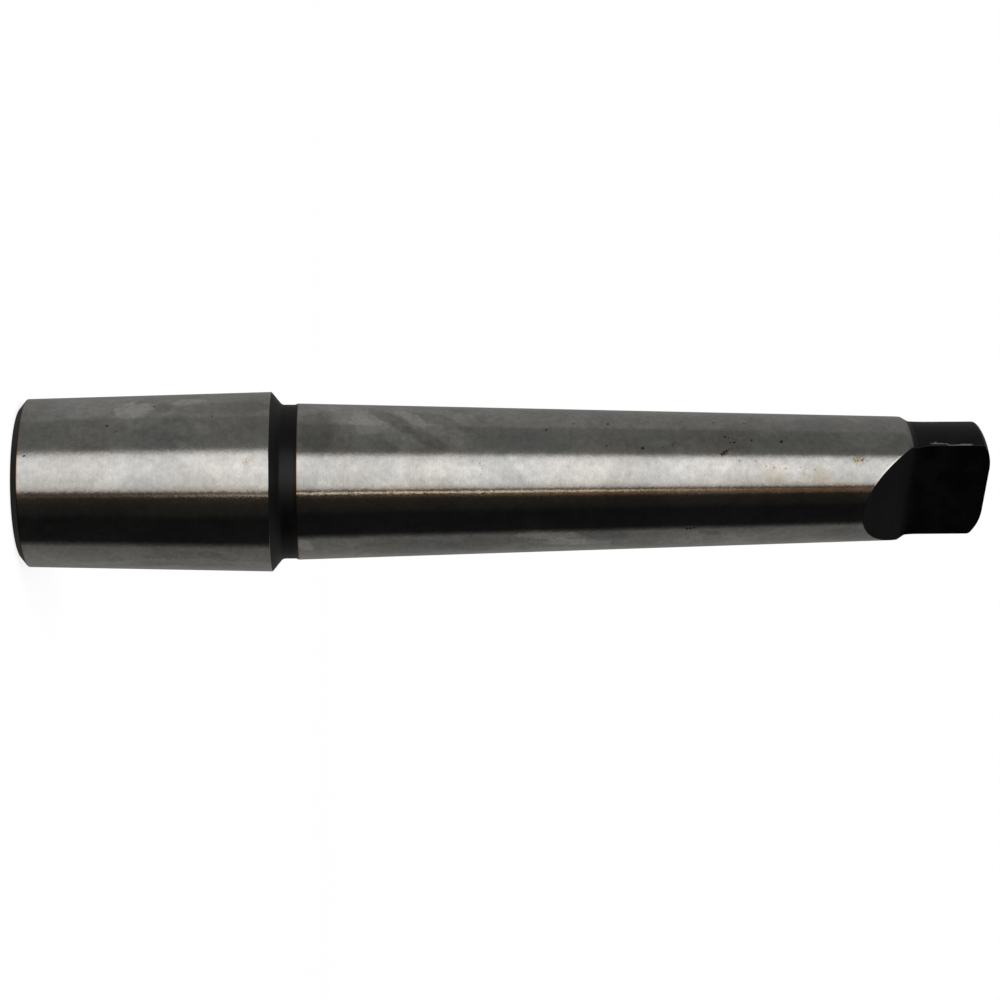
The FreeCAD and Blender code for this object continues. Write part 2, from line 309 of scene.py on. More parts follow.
def build_skin():
    """The arbor's whole surface, with broken edges, as one closed skin."""
    skin = Skin()
    turned = Turned()

    # Columns of the milled side, by their distance from its middle
    top_half = math.sqrt(STEEP_RADIUS**2 - FLAT_OFFSET**2)
    end_half = math.sqrt((TANG_RADIUS - NOSE_RUN) ** 2 - FLAT_OFFSET**2)
    shares = np.linspace(0, 1, NOSE_STEPS + 1)
    nose_widths = top_half + (end_half - top_half) * shares
    inner = np.linspace(end_half, -end_half, END_COLUMNS + 1)[1:-1]
    widths = np.concatenate([nose_widths, inner, -nose_widths[::-1]])
    columns = len(widths)

    edge_radius = turned.at(SHANK_END)[0]
    edge_distance = flat_distance(SHANK_END)[0]
    foot_half = math.sqrt(edge_radius**2 - edge_distance**2)
    feet, foot_angles = [], []
    for width in widths:
        half = abs(width) / top_half * foot_half
        height = SHANK_END if abs(half - foot_half) < 1e-9 else solve_crescent(turned, half)
        feet.append(height)
        across = np.sign(width) * half / turned.at(height)[0]
        foot_angles.append(math.acos(across) if width else math.pi / 2)
    edge_angle = foot_angles[0]
    arc_shares = np.linspace(-1, 1, ARC_COLUMNS + 1)

    # Columns of the whole ring, from the right arc round to the second milled side
    angles, tops = [], []
    for turn in (0.0, math.pi):
        angles += [turn + edge_angle * share for share in arc_shares[:-1]]
        tops += [SHANK_END] * ARC_COLUMNS
        angles += [turn + angle for angle in foot_angles[:-1]]
        tops += feet[:-1]
    angles, tops = np.array(angles), np.array(tops)
    tops[ARC_COLUMNS] = SHANK_END
    count = len(angles)

    def ring(radius, height, normal):
        return [skin.ring_vertex(radius, height, normal, a) for a in angles]

    # From the front centre hole's point, over the front face, up to the shank
    mouth, pilot, depth = FRONT_CENTRE
    shank_foot = tops.min() - 1.5
    corners = [
        (POINT_RING, depth + (pilot - POINT_RING) / POINT_SLOPE, 0, BLACK),
        (pilot, depth, PILOT_ROUNDING, BLACK),
        (pilot, (mouth - pilot) / CENTRE_SLOPE, CONE_ROUNDING, BLACK),
        (mouth, 0, CHAMFER_ROUNDING, BLACK),
        (chuck_radius(FRONT_CHAMFER) - FRONT_CHAMFER_DEPTH, 0, CORNER_ROUNDING, BLACK),
        (chuck_radius(FRONT_CHAMFER), FRONT_CHAMFER, CHAMFER_ROUNDING, GROUND),
        (chuck_radius(CHUCK_LENGTH), CHUCK_LENGTH, CORNER_ROUNDING, BLACK),
        (
            NECK_RADIUS,
            CHUCK_LENGTH + (chuck_radius(CHUCK_LENGTH) - NECK_RADIUS) / math.tan(BACK_ANGLE),
            NECK_FILLET,
            BLACK,
        ),
        (NECK_RADIUS, SHANK_START - NECK_RISE, RISE_ROUNDING, BLACK),
        (cone_radius(SHANK_START), SHANK_START, CHAMFER_ROUNDING, GROUND),
        (cone_radius(shank_foot), shank_foot, 0, GROUND),
    ]
    path = rounded_path(corners)
    point = skin.vertex((0, 0, depth + pilot / POINT_SLOPE), (0, 0, -1))
    rows = [(ring(r, z, (nr, nz)), finish) for r, z, nr, nz, finish in path]
    for i in range(count):
        skin.face([point, rows[0][0][(i + 1) % count], rows[0][0][i]], BLACK)
    for (lower, finish), (upper, _) in zip(rows, rows[1:]):
        skin.strip(lower, upper, finish, True)

    # Up to the crescent on the milled sides, and to the shoulder between them
    below = rows[-1][0]
    for k in range(1, SLOPE_ROWS + 1):
        share = k / SLOPE_ROWS
        row = []
        for angle, top in zip(angles, tops):
            height = shank_foot + (top - shank_foot) * share
            radius, normal = turned.at(height)
            row.append(skin.ring_vertex(radius, height, normal, angle))
        skin.strip(below, row, GROUND, True)
        inside = below
        below = row
    crescent, crescent_inside = below, inside

    # The two arcs of the tang's barrel, between the milled sides
    corner_angles = np.linspace(0, STEEP_ANGLE, CORNER_ROWS + 1)[1:]
    flat_heights = np.concatenate(
        [
            np.linspace(BLEND_TOP, NOSE_START, FLAT_ROWS + 1)[1:],
            NOSE_START + NOSE_CORNER * np.sin(corner_angles),
        ]
    )
    flat_shares = (flat_heights - BLEND_TOP) / (STEEP_END - BLEND_TOP)
    run_heights = np.concatenate(
        [
            np.linspace(SHANK_END, BARREL_START + SHOULDER_ROUNDING, SHOULDER_ROWS + 1),
            np.linspace(BARREL_START + SHOULDER_ROUNDING, BLEND_TOP, RUNOUT_ROWS + 1)[1:],
        ]
    )
    run_shares = (run_heights - SHANK_END) / (BLEND_TOP - SHANK_END)
    heights = np.concatenate([run_heights[1:], flat_heights])
    arc_rows = []
    for side, turn in enumerate((0.0, math.pi)):
        first = side * (ARC_COLUMNS + columns - 1)
        start = crescent[first : first + ARC_COLUMNS + 1]
        lists = [start]
        for height in heights:
            radius, normal = turned.at(height)
            half = math.asin(flat_distance(height)[0] / radius)
            lists.append(
                [skin.ring_vertex(radius, height, normal, turn + half * share) for share in arc_shares]
            )
        for width in nose_widths[1:]:
            radius = math.hypot(width, FLAT_OFFSET)
            height, normal = nose_point(radius)
            half = math.asin(FLAT_OFFSET / radius)
            lists.append(
                [skin.ring_vertex(radius, height, normal, turn + half * share) for share in arc_shares]
            )
        for k, (lower, upper) in enumerate(zip(lists, lists[1:])):
            ground = k < len(heights) and heights[k] < GROUND_END
            skin.strip(lower, upper, GROUND if ground else BLACK, False)
        arc_rows.append(lists)

    # The end face and the centre hole in it
    mouth, pilot, depth = TANG_CENTRE
    edge_rows = []
    outline = []
    for side in (0, 1):
        outline += arc_rows[side][-1]
        sign = 1 if side == 0 else -1
        row = [skin.vertex((sign * x, sign * FLAT_OFFSET, TOTAL), (0, 0, 1)) for x in inner]
        edge_rows.append([arc_rows[side][-1][-1]] + row + [arc_rows[1 - side][-1][0]])
        outline += row
    polar = [math.atan2(skin.places[v][1], skin.places[v][0]) for v in outline]
    corners = [
        (mouth + MOUTH_MARGIN, TOTAL, 0, BLACK),
        (mouth, TOTAL, CORNER_ROUNDING, BLACK),
        (pilot, TOTAL - (mouth - pilot) / CENTRE_SLOPE, CONE_ROUNDING, BLACK),
        (pilot, TOTAL - depth, PILOT_ROUNDING, BLACK),
        (POINT_RING, TOTAL - depth - (pilot - POINT_RING) / POINT_SLOPE, 0, BLACK),
    ]
    lower = outline
    for r, z, nr, nz, finish in rounded_path(corners):
        upper = [skin.ring_vertex(r, z, (nr, nz), a) for a in polar]
        skin.strip(lower, upper, finish, True)
        lower = upper
    point = skin.vertex((0, 0, TOTAL - depth - pilot / POINT_SLOPE), (0, 0, 1))
    for i in range(len(lower)):
        skin.face([lower[i], lower[(i + 1) % len(lower)], point], BLACK)

    # The two milled sides, and the broken edge round each
    for side in (0, 1):
        sign = 1 if side == 0 else -1
        first = side * (ARC_COLUMNS + columns - 1) + ARC_COLUMNS
        grid = []
        for j, width in enumerate(widths):
            foot = feet[j]
            on_end = NOSE_STEPS <= j < columns - NOSE_STEPS
            top = TOTAL if on_end else nose_point(math.hypot(width, FLAT_OFFSET))[0]
            column_heights = np.concatenate(
                [
                    foot + run_shares * (BLEND_TOP - foot),
                    BLEND_TOP + flat_shares * (top - BLEND_TOP),
                ]
            )
            column = []
            for height in column_heights:
                distance, normal = flat_distance(height)
                if height >= SHANK_END:
                    half = math.sqrt(turned.at(height)[0] ** 2 - distance**2)
                else:
                    half = foot_half
                x = width / top_half * half
                column.append(
                    skin.vertex((sign * x, sign * distance, height), (0, sign * normal[0], normal[1]))
                )
            grid.append(column)
        for left, right in zip(grid, grid[1:]):
            skin.strip(left[::-1], right[::-1], MILLED, False)

        # Vertices of the turned form and of the milled side that face each other
        last = len(grid[0]) - 1
        here, there = arc_rows[side], arc_rows[1 - side]
        rise = len(heights)
        pairs = []
        for j in range(columns):
            v = crescent[(first + j) % count]
            w = crescent_inside[(first + j) % count]
            inward = grid[min(max(j, 1), columns - 2)][1]
            pairs.append((v, w, grid[j][0], inward))
        for i in range(1, rise + 1):
            pairs.append((there[i][0], there[i][1], grid[-1][i], grid[-2][i]))
        for k in range(1, NOSE_STEPS + 1):
            j = columns - 1 - k
            pairs.append((there[rise + k][0], there[rise + k][1], grid[j][last], grid[j][last - 1]))
        row = edge_rows[side]
        for k in range(1, END_COLUMNS):
            j = NOSE_STEPS + END_COLUMNS - k
            v = row[END_COLUMNS - k]
            pairs.append((v, None, grid[j][last], grid[j][last - 1]))
        for k in range(NOSE_STEPS, 0, -1):
            pairs.append((here[rise + k][-1], here[rise + k][-2], grid[k][last], grid[k][last - 1]))
        for i in range(rise, 0, -1):
            pairs.append((here[i][-1], here[i][-2], grid[0][i], grid[1][i]))
        break_edge(skin, pairs, sign)
    return skin


def break_edge(skin, pairs, sign):
    """Draws a narrow rounded strip along the edge where two surfaces meet."""
    edge_places = [skin.places[v].copy() for v, _, _, _ in pairs]
    moved = {}
    middles = []
    for (v, outer_inside, w, flat_inside), place in zip(pairs, edge_places):
        if outer_inside is None:
            outer = place - np.array([0, sign * EDGE_BREAK, 0])
        else:
            outer = place + unit(skin.places[outer_inside] - place) * EDGE_BREAK
        flat = place + unit(skin.places[flat_inside] - place) * EDGE_BREAK
        moved[v], moved[w] = outer, flat
        middle = (outer + flat) * 0.3 + place * 0.4
        middles.append(skin.vertex(middle, skin.normals[v] + skin.normals[w]))
    for index, place in moved.items():
        skin.places[index] = place
    count = len(pairs)
    for i in range(count):
        j = (i + 1) % count
        skin.face([pairs[i][0], middles[i], middles[j], pairs[j][0]][::-1], BLACK)
        skin.face([middles[i], pairs[i][2], pairs[j][2], middles[j]][::-1], BLACK)


def make_mesh(name, skin, materials):
    """The skin as a mesh object in metres, with its own normals."""
    mesh = bpy.data.meshes.new(name)
    places = [tuple(place * MM) for place in skin.places]
    mesh.from_pydata(places, [], skin.faces)
    for material in materials:
        mesh.materials.append(material)
    mesh.polygons.foreach_set("material_index", skin.finishes)
    mesh.polygons.foreach_set("use_smooth", [True] * len(skin.faces))
    mesh.normals_split_custom_set_from_vertices([tuple(n) for n in skin.normals])
    mesh.update()
    piece = bpy.data.objects.new(name, mesh)
    bpy.context.scene.collection.objects.link(piece)
    return piece


# Camera: it looks across the standing arbor, turned a quarter so that the
# picture's right is up. TANG_TURN is how far the near flat faces away from it.
TANG_TURN = 0.588
CAMERA_DISTANCE = 241.37
CAMERA_SIDE = -2.270
CAMERA_HEIGHT = 39.51
CAMERA_YAW = 0.0631
CAMERA_ROLL = -0.0062
CAMERA_LENS = 74.93
SENSOR = 36.0

towards = Vector((-math.sin(TANG_TURN), -math.cos(TANG_TURN), 0))
picture_up = Vector((-math.cos(TANG_TURN), math.sin(TANG_TURN), 0))
upright = Vector((0, 0, 1))


def on_surface(height, degrees):
    """The place on the tapers at a height and at an angle from the camera's side,
    counted towards the picture's top, in metres."""
    angle = math.radians(degrees)
    outward = towards * math.cos(angle) + picture_up * math.sin(angle)
    place = outward * taper_radius(height)
    return (place + upright * height) * MM


# Edge of a smudge with painted sheen: how far noise shifts it, and where it fades, as shares of its
# size
SMUDGE_AND_SHEEN_RAGGEDNESS = 1.3
SMUDGE_AND_SHEEN_EDGE = (0.75, 1.15)


class Nodes:
    """A material's node tree, with short ways to add and join its nodes."""

    def __init__(self, name):
        self.material = bpy.data.materials.new(name)
        self.material.use_nodes = True
        self.tree = self.material.node_tree
        self.shader = self.tree.nodes["Principled BSDF"]
        self.place = self.add("ShaderNodeTexCoord").outputs["Object"]

    def add(self, kind, **settings):
        """A new node with these settings."""
        node = self.tree.nodes.new(kind)
        for key, value in settings.items():
            setattr(node, key, value)
        return node

    def feed(self, socket, source):
        """Joins a socket to a source, or sets it to a plain value."""
        if isinstance(source, bpy.types.NodeSocket):
            self.tree.links.new(source, socket)
        else:
            socket.default_value = source

    def math(self, operation, *values, clamp=False):
        node = self.add("ShaderNodeMath", operation=operation, use_clamp=clamp)
        for socket, value in zip(node.inputs, values):
            self.feed(socket, value)
        return node.outputs[0]

    def vector(self, operation, *values):
        node = self.add("ShaderNodeVectorMath", operation=operation)
        for socket, value in zip(node.inputs, values):
            self.feed(socket, value)
        return node.outputs["Value" if operation in ("DISTANCE", "LENGTH", "DOT_PRODUCT") else "Vector"]

    def stretched(self, across, along):
        """The place with this many noise cells per millimetre across and along the axis."""
        return self.vector("MULTIPLY", self.place, (across / MM, across / MM, along / MM))

    def noise(self, across, along, detail=3.0, roughness=0.5, shift=0.0, distortion=0.0):
        """Noise with this many cells per millimetre across and along the axis."""
        node = self.add("ShaderNodeTexNoise")
        vector = self.stretched(across, along)
        if shift:
            vector = self.vector("ADD", vector, (shift, shift, shift))
        self.feed(node.inputs["Vector"], vector)
        node.inputs["Scale"].default_value = 1.0
        node.inputs["Detail"].default_value = detail
        node.inputs["Roughness"].default_value = roughness
        node.inputs["Distortion"].default_value = distortion
        return node.outputs[0]

    def spread(self, value, low, high, to_low=0.0, to_high=1.0, smooth=True):
        """The value carried over from one range to another, and held at its ends."""
        node = self.add("ShaderNodeMapRange", interpolation_type="SMOOTHSTEP" if smooth else "LINEAR")
        for socket, item in zip(node.inputs, (value, low, high, to_low, to_high)):
            self.feed(socket, item)
        return node.outputs[0]

    def mix(self, share, low, high, blend="MIX"):
        """Two colours mixed, the second one by its share."""
        node = self.add("ShaderNodeMix", data_type="RGBA", blend_type=blend)
        colours = [s for s in node.inputs if s.type == "RGBA"]
        self.feed(node.inputs[0], share)
        for socket, item in zip(colours, (low, high)):
            self.feed(socket, item if isinstance(item, bpy.types.NodeSocket) else (*item, 1))
        return [s for s in node.outputs if s.type == "RGBA"][0]

    def fade(self, value, ends, to_low=0.0, to_high=1.0):
        """A soft step between two values given in millimetres."""
        return self.spread(value, ends[0] * MM, ends[1] * MM, to_low, to_high)

    def spot(self, centre, inner, outer, place, strength):
        """The strength within the inner distance of a centre, 0 beyond the outer one, in mm."""
        away = self.vector("DISTANCE", place, tuple(centre))
        return self.spread(away, outer * MM, inner * MM, 0.0, strength)

    def unrolled(self):
        """The place on the surface laid flat: height, and distance round the axis from
        the camera's side towards the picture's top, both in millimetres."""
        parts = self.add("ShaderNodeSeparateXYZ")
        self.feed(parts.inputs[0], self.place)
        ahead = self.vector("DOT_PRODUCT", self.place, tuple(towards))
        upward = self.vector("DOT_PRODUCT", self.place, tuple(picture_up))
        angle = self.math("ARCTAN2", upward, ahead)
        square = self.math("ADD", self.math("POWER", ahead, 2.0), self.math("POWER", upward, 2.0))
        radius = self.math("SQRT", square)
        joined = self.add("ShaderNodeCombineXYZ")
        self.feed(joined.inputs[0], self.math("DIVIDE", parts.outputs[2], MM))
        self.feed(joined.inputs[1], self.math("DIVIDE", self.math("MULTIPLY", angle, radius), MM))
        return joined.outputs[0]

    def smudge_and_sheen(self, flat_place, edge, height, degrees, half_length, half_width, slant, tone):
        """How much a smudge with a ragged edge changes the brightness, as a factor; its lighter or
        darker tone is partly painted sheen.
        """
        middle = (height, math.radians(degrees) * taper_radius(height), 0)
        away = self.vector("SUBTRACT", flat_place, middle)
        turn = self.add("ShaderNodeVectorRotate", rotation_type="Z_AXIS")
        self.feed(turn.inputs["Vector"], away)
        turn.inputs["Angle"].default_value = -math.radians(slant)
        shrunk = self.vector("MULTIPLY", turn.outputs[0], (1 / half_length, 1 / half_width, 0))
        ragged = self.math("MULTIPLY", self.math("SUBTRACT", edge, 0.5), SMUDGE_AND_SHEEN_RAGGEDNESS)
        reach = self.math("ADD", self.vector("LENGTH", shrunk), ragged)
        return self.spread(reach, *SMUDGE_AND_SHEEN_EDGE, 1 + tone, 1.0)

    def bump(self, height, strength, distance):
        """Gives the shader a bump of this height."""
        node = self.add("ShaderNodeBump")
        node.inputs["Strength"].default_value = strength
        node.inputs["Distance"].default_value = distance
        self.feed(node.inputs["Height"], height)
        self.feed(self.shader.inputs["Normal"], node.outputs[0])

    def most(self, values):
        """The greatest of the values."""
        total = values[0]
        for value in values[1:]:
            total = self.math("MAXIMUM", total, value)
        return total


# Rust pits, and the stains about them: height, angle, size in millimetres and strength.
PITS = [
    (80.1, 38.1, 0.26, 0.92),
    (80.5, 36.6, 0.14, 0.92),
    (80.7, 31.6, 0.20, 0.92),
    (81.1, 32.0, 0.24, 0.92),
    (83.1, 34.1, 0.25, 0.92),
    (86.6, 33.4, 0.32, 0.92),
    (79.5, 20.6, 0.30, 0.92),
    (79.8, 21.9, 0.34, 0.92),
    (80.1, 23.4, 0.28, 0.92),
    (80.4, 25.0, 0.24, 0.50),
    (80.8, 26.4, 0.18, 0.50),
    (81.4, 27.3, 0.17, 0.50),
    (81.5, 15.2, 0.17, 0.50),
    (83.4, 14.4, 0.17, 0.50),
    (84.6, 10.1, 0.17, 0.50),
    (85.5, 9.2, 0.20, 0.50),
    (86.8, 8.3, 0.13, 0.50),
    (88.5, 9.2, 0.17, 0.50),
    (89.1, 8.4, 0.13, 0.50),
    (90.2, 7.4, 0.18, 0.50),
    (91.8, 12.7, 0.11, 0.50),
    (93.9, 13.6, 0.11, 0.50),
    (94.8, 16.9, 0.20, 0.75),
    (95.2, 15.6, 0.15, 0.75),
    (95.7, 15.9, 0.22, 0.75),
    (75.8, -45.3, 0.26, 0.92),
    (76.2, -45.2, 0.30, 0.92),
    (76.6, -44.9, 0.20, 0.92),
    (92.0, -88.0, 0.22, 0.92),
    (70.5, 25.5, 0.26, 0.92),
    (72.0, 13.4, 0.13, 0.50),
    (73.9, 46.0, 0.12, 0.92),
    (66.2, 38.5, 0.11, 0.92),
    (1.6, 17.6, 0.22, 0.92),
    (2.0, 16.8, 0.14, 0.50),
    (10.5, 39.1, 0.20, 0.92),
    (22.1, 45.5, 0.18, 0.92),
    (15.5, 58.0, 0.20, 0.92),
    (11.6, 34.8, 0.13, 0.92),
    (26.1, 11.8, 0.13, 0.50),
    (60.5, 62.0, 0.13, 0.92),
    (49.0, -58.0, 0.13, 0.92),
    (55.3, -22.0, 0.12, 0.92),
    (62.0, 18.0, 0.12, 0.50),
    (52.0, 12.9, 0.16, 0.50),
    (52.2, 8.2, 0.12, 0.50),
    (52.1, 4.4, 0.12, 0.50),
    (66.8, 51.1, 0.20, 0.92),
    (62.9, 50.7, 0.16, 0.92),
    (74.0, 28.9, 0.18, 0.92),
    (79.1, 55.9, 0.20, 0.92),
    (82.6, 54.8, 0.16, 0.92),
    (59.7, 42.7, 0.22, 0.92),
    (66.4, 27.5, 0.14, 0.92),
    (95.0, 14.9, 0.14, 0.60),
    (95.9, 17.2, 0.16, 0.60),
    (96.2, 15.4, 0.13, 0.55),
]

STAINS = [
    (79.7, 21.5, 0.8, 0.35),
    (85.2, 10.0, 0.7, 0.25),
    (89.0, 5.0, 0.6, 0.50),
    (91.0, 1.5, 1.7, 0.35),
    (85.5, 1.5, 1.8, 0.30),
    (95.4, 16.2, 0.9, 0.85),
    (93.3, 20.5, 0.5, 0.35),
    (26.1, 11.8, 0.7, 0.50),
    (34.7, 35.1, 0.8, 0.45),
    (74.0, 28.9, 0.6, 0.45),
    (59.7, 42.7, 0.7, 0.45),
    (84.0, 62.0, 1.4, 0.35),
    (86.0, 50.0, 1.0, 0.35),
    (88.4, -9.3, 1.1, 0.45),
    (91.0, -9.0, 1.0, 0.45),
    (93.1, -8.8, 1.2, 0.45),
]

# Smudges on the grey sides, lighter or darker in the steel's colour: partly the smudges' own tone and
# partly painted sheen, where they catch more or less reflected light. Height and angle of the middle,
# half the length along the axis and half the width in millimetres, slant and tone.
SMUDGES_AND_SHEEN = [
    (8.0, 52.0, 7.0, 4.0, 0, 0.11),
    (8.0, -62.0, 7.0, 2.2, 0, 0.08),
    (19.0, 52.0, 7.0, 4.0, 0, 0.09),
    (19.0, -62.0, 7.0, 2.2, 0, -0.06),
    (36.0, 52.0, 6.2, 3.4, 0, 0.16),
    (36.0, -62.0, 6.2, 1.8, 0, -0.06),
    (44.0, 52.0, 6.2, 3.4, 0, 0.24),
    (44.0, -62.0, 6.2, 1.8, 0, -0.12),
    (53.0, -62.0, 6.2, 1.8, 0, -0.14),
    (71.0, 52.0, 6.2, 3.4, 0, -0.07),
    (71.0, -62.0, 6.2, 1.8, 0, -0.08),
    (80.0, 52.0, 6.2, 3.4, 0, -0.08),
    (80.0, -62.0, 6.2, 1.8, 0, 0.14),
    (97.0, -62.0, 6.2, 1.8, 0, -0.16),
    (33.7, 39.5, 3.2, 2.2, -89, -0.22),
    (43.5, 35.0, 7.5, 1.8, 0, 0.20),
    (37.6, 54.7, 2.9, 1.3, -26, 0.07),
    (42.3, 51.4, 3.4, 1.0, -44, -0.27),
    (46.1, 32.5, 3.0, 0.8, -32, -0.22),
    (41.2, 26.6, 2.0, 0.7, -19, -0.14),
    (44.4, 55.5, 2.4, 0.8, -48, 0.25),
    (46.9, 56.2, 3.0, 1.1, -29, -0.15),
    (50.5, 54.4, 1.6, 1.2, -43, 0.17),
    (54.8, 33.1, 4.3, 1.5, -2, -0.08),
    (49.8, 31.0, 1.7, 0.9, -27, 0.10),
    (7.9, 54.6, 2.9, 1.9, 3, 0.05),
    (13.2, 55.5, 2.1, 1.6, 5, 0.29),
    (16.6, 56.4, 1.1, 1.1, -8, -0.22),
    (19.1, 63.3, 2.0, 0.8, 16, 0.23),
    (23.1, 66.5, 3.5, 0.9, 3, 0.09),
    (23.4, 54.5, 5.3, 1.2, 0, -0.15),
    (16.0, 32.2, 1.2, 1.0, -4, -0.05),
    (18.8, 24.6, 0.9, 0.4, -23, 0.18),
    (19.3, 35.3, 2.5, 1.1, -4, 0.18),
    (32.4, -54.5, 1.2, 0.8, -60, 0.33),
    (56.3, -57.0, 2.9, 1.2, -14, 0.04),
    (59.8, -49.1, 3.5, 0.8, -1, 0.43),
    (62.9, -60.0, 4.3, 0.7, -2, 0.40),
    (66.1, -49.1, 2.8, 0.9, -3, -0.12),
    (78.5, -51.6, 1.3, 0.4, -6, -0.23),
    (83.0, -56.1, 2.9, 1.0, -4, 0.07),
    (19.9, -62.7, 6.6, 0.6, -3, 0.15),
    (21.6, -53.6, 1.3, 0.7, -5, -0.18),
    (8.4, -57.4, 3.6, 1.6, -8, -0.13),
]


# Tints at the ends of the ground steel: the heights between which each one fades.
# The shank's fringe ends again at the neck's limit.
OVERRUN = (SHANK_END - 0.3, SHANK_END + 0.1)
BROWN_LINE = (GROUND_END - 0.32, GROUND_END - 0.18)
SHANK_FRINGE = (SHANK_START + 0.16, SHANK_START + 0.04)
NECK_LIMIT = (CHUCK_LENGTH + 0.1, CHUCK_LENGTH + 0.2)
CHAMFER_FRINGE = (FRONT_CHAMFER + 0.18, FRONT_CHAMFER + 0.06)

# Painted highlight along the crescent's rim, a near-white line in the steel's colour: how deep under
# the run-out's plane it fades, the heights where it ends and where it grows, and how far across it
# comes in
RIM_HIGHLIGHT_DEPTH = (-0.22, -0.10)
RIM_HIGHLIGHT_END = (100.9, 100.4)
RIM_HIGHLIGHT_GROWTH = (98.0, 99.2)
RIM_HIGHLIGHT_ACROSS = (-0.5, -2.5)

# How far noise moves the edges of pits and of stains
PIT_SHIFT = 0.5 * MM
STAIN_SHIFT = 2.4 * MM
STEEL_BUMP = 2.2e-6


def steel_brightness(n, lines, clouds):
    """Grinding lines, flecks, clouds, and smudges with painted sheen, as one factor."""
    flecks = n.noise(2.6, 7.0, detail=3.0, roughness=0.6, shift=7.3)
    smudges = n.noise(0.5, 0.35, detail=3.0, roughness=0.5, shift=15.0, distortion=0.3)
    mottle = n.noise(1.4, 1.4, detail=3.0, roughness=0.6, shift=41.0)
    edge = n.noise(0.9, 0.9, detail=4.0, roughness=0.6, shift=31.0)
    level = n.spread(lines, 0.25, 0.75, 0.93, 1.05, smooth=False)
    level = n.math("MULTIPLY", level, n.spread(flecks, 0.3, 0.7, 0.93, 1.07, smooth=False))
    level = n.math("MULTIPLY", level, n.spread(mottle, 0.3, 0.7, 0.88, 1.12, smooth=False))
    level = n.math("MULTIPLY", level, n.spread(clouds, 0.44, 0.55, 0.885, 1.03))
    level = n.math("MULTIPLY", level, n.spread(smudges, 0.40, 0.60, 0.965, 1.025))
    flat_place = n.unrolled()
    # Smudges whose lighter or darker tone is partly painted sheen
    for smudge_and_sheen in SMUDGES_AND_SHEEN:
        level = n.math("MULTIPLY", level, n.smudge_and_sheen(flat_place, edge, *smudge_and_sheen))
    return level


def rust(n):
    """Rust pits with a few specks, and the brown haze about them."""
    ragged = n.add("ShaderNodeTexNoise")
    n.feed(ragged.inputs["Vector"], n.stretched(4.0, 4.0))
    ragged.inputs["Scale"].default_value = 1.0
    ragged.inputs["Detail"].default_value = 3.0
    shift = n.vector("SUBTRACT", ragged.outputs["Color"], (0.5, 0.5, 0.5))
    near = n.vector("ADD", n.place, n.vector("MULTIPLY", shift, (PIT_SHIFT,) * 3))
    wide = n.vector("ADD", n.place, n.vector("MULTIPLY", shift, (STAIN_SHIFT,) * 3))
    pits = [
        n.spot(on_surface(height, degrees), size * 0.3, size, near, strength)
        for height, degrees, size, strength in PITS
    ]
    haze = [
        n.spot(on_surface(height, degrees), size * 0.2, size, wide, strength)
        for height, degrees, size, strength in STAINS
    ]
    dots = n.add("ShaderNodeTexVoronoi")
    n.feed(dots.inputs["Vector"], n.stretched(0.42, 0.42))
    dots.inputs["Scale"].default_value = 1.0
    speck = n.math("MULTIPLY", n.spread(dots.outputs["Distance"], 0.055, 0.02), 0.55)
    return n.most([n.most(pits), speck]), n.most(haze)


def tint_ends_and_paint_highlight(n, colour):
    """The steel's colour with its tints at both ends of each taper, and a painted highlight: a
    near-white line along the crescent's rim."""
    parts = n.add("ShaderNodeSeparateXYZ")
    n.feed(parts.inputs[0], n.place)
    x, y, z = parts.outputs
    # Painted highlight: a near-white line along the crescent's rim, on one side only
    run = n.math("MULTIPLY", n.math("SUBTRACT", CREASE * MM, z), RUNOUT_SLOPE)
    past = n.math("SUBTRACT", n.math("ABSOLUTE", y), n.math("ADD", run, FLAT_OFFSET * MM))
    painted_highlight = n.fade(past, RIM_HIGHLIGHT_DEPTH)
    painted_highlight = n.math("MULTIPLY", painted_highlight, n.fade(z, RIM_HIGHLIGHT_END))
    painted_highlight = n.math("MULTIPLY", painted_highlight, n.fade(x, RIM_HIGHLIGHT_ACROSS))
    painted_highlight = n.math("MULTIPLY", painted_highlight, n.fade(z, RIM_HIGHLIGHT_GROWTH, 0.35, 1.0))
    fringe = n.math("MULTIPLY", n.fade(z, SHANK_FRINGE), n.fade(z, NECK_LIMIT))
    fringe = n.most([fringe, n.fade(z, CHAMFER_FRINGE)])
    for share, strength, tint in (
        (n.fade(z, OVERRUN), 0.45, (0.30, 0.285, 0.27)),
        (fringe, 0.7, (0.60, 0.26, 0.12)),
        (n.fade(z, BROWN_LINE), 0.75, (0.16, 0.085, 0.06)),
        # painted highlight on the crescent's rim
        (painted_highlight, 0.95, (1.0, 0.94, 0.86)),
    ):
        colour = n.mix(n.math("MULTIPLY", share, strength), colour, tint)
    return colour


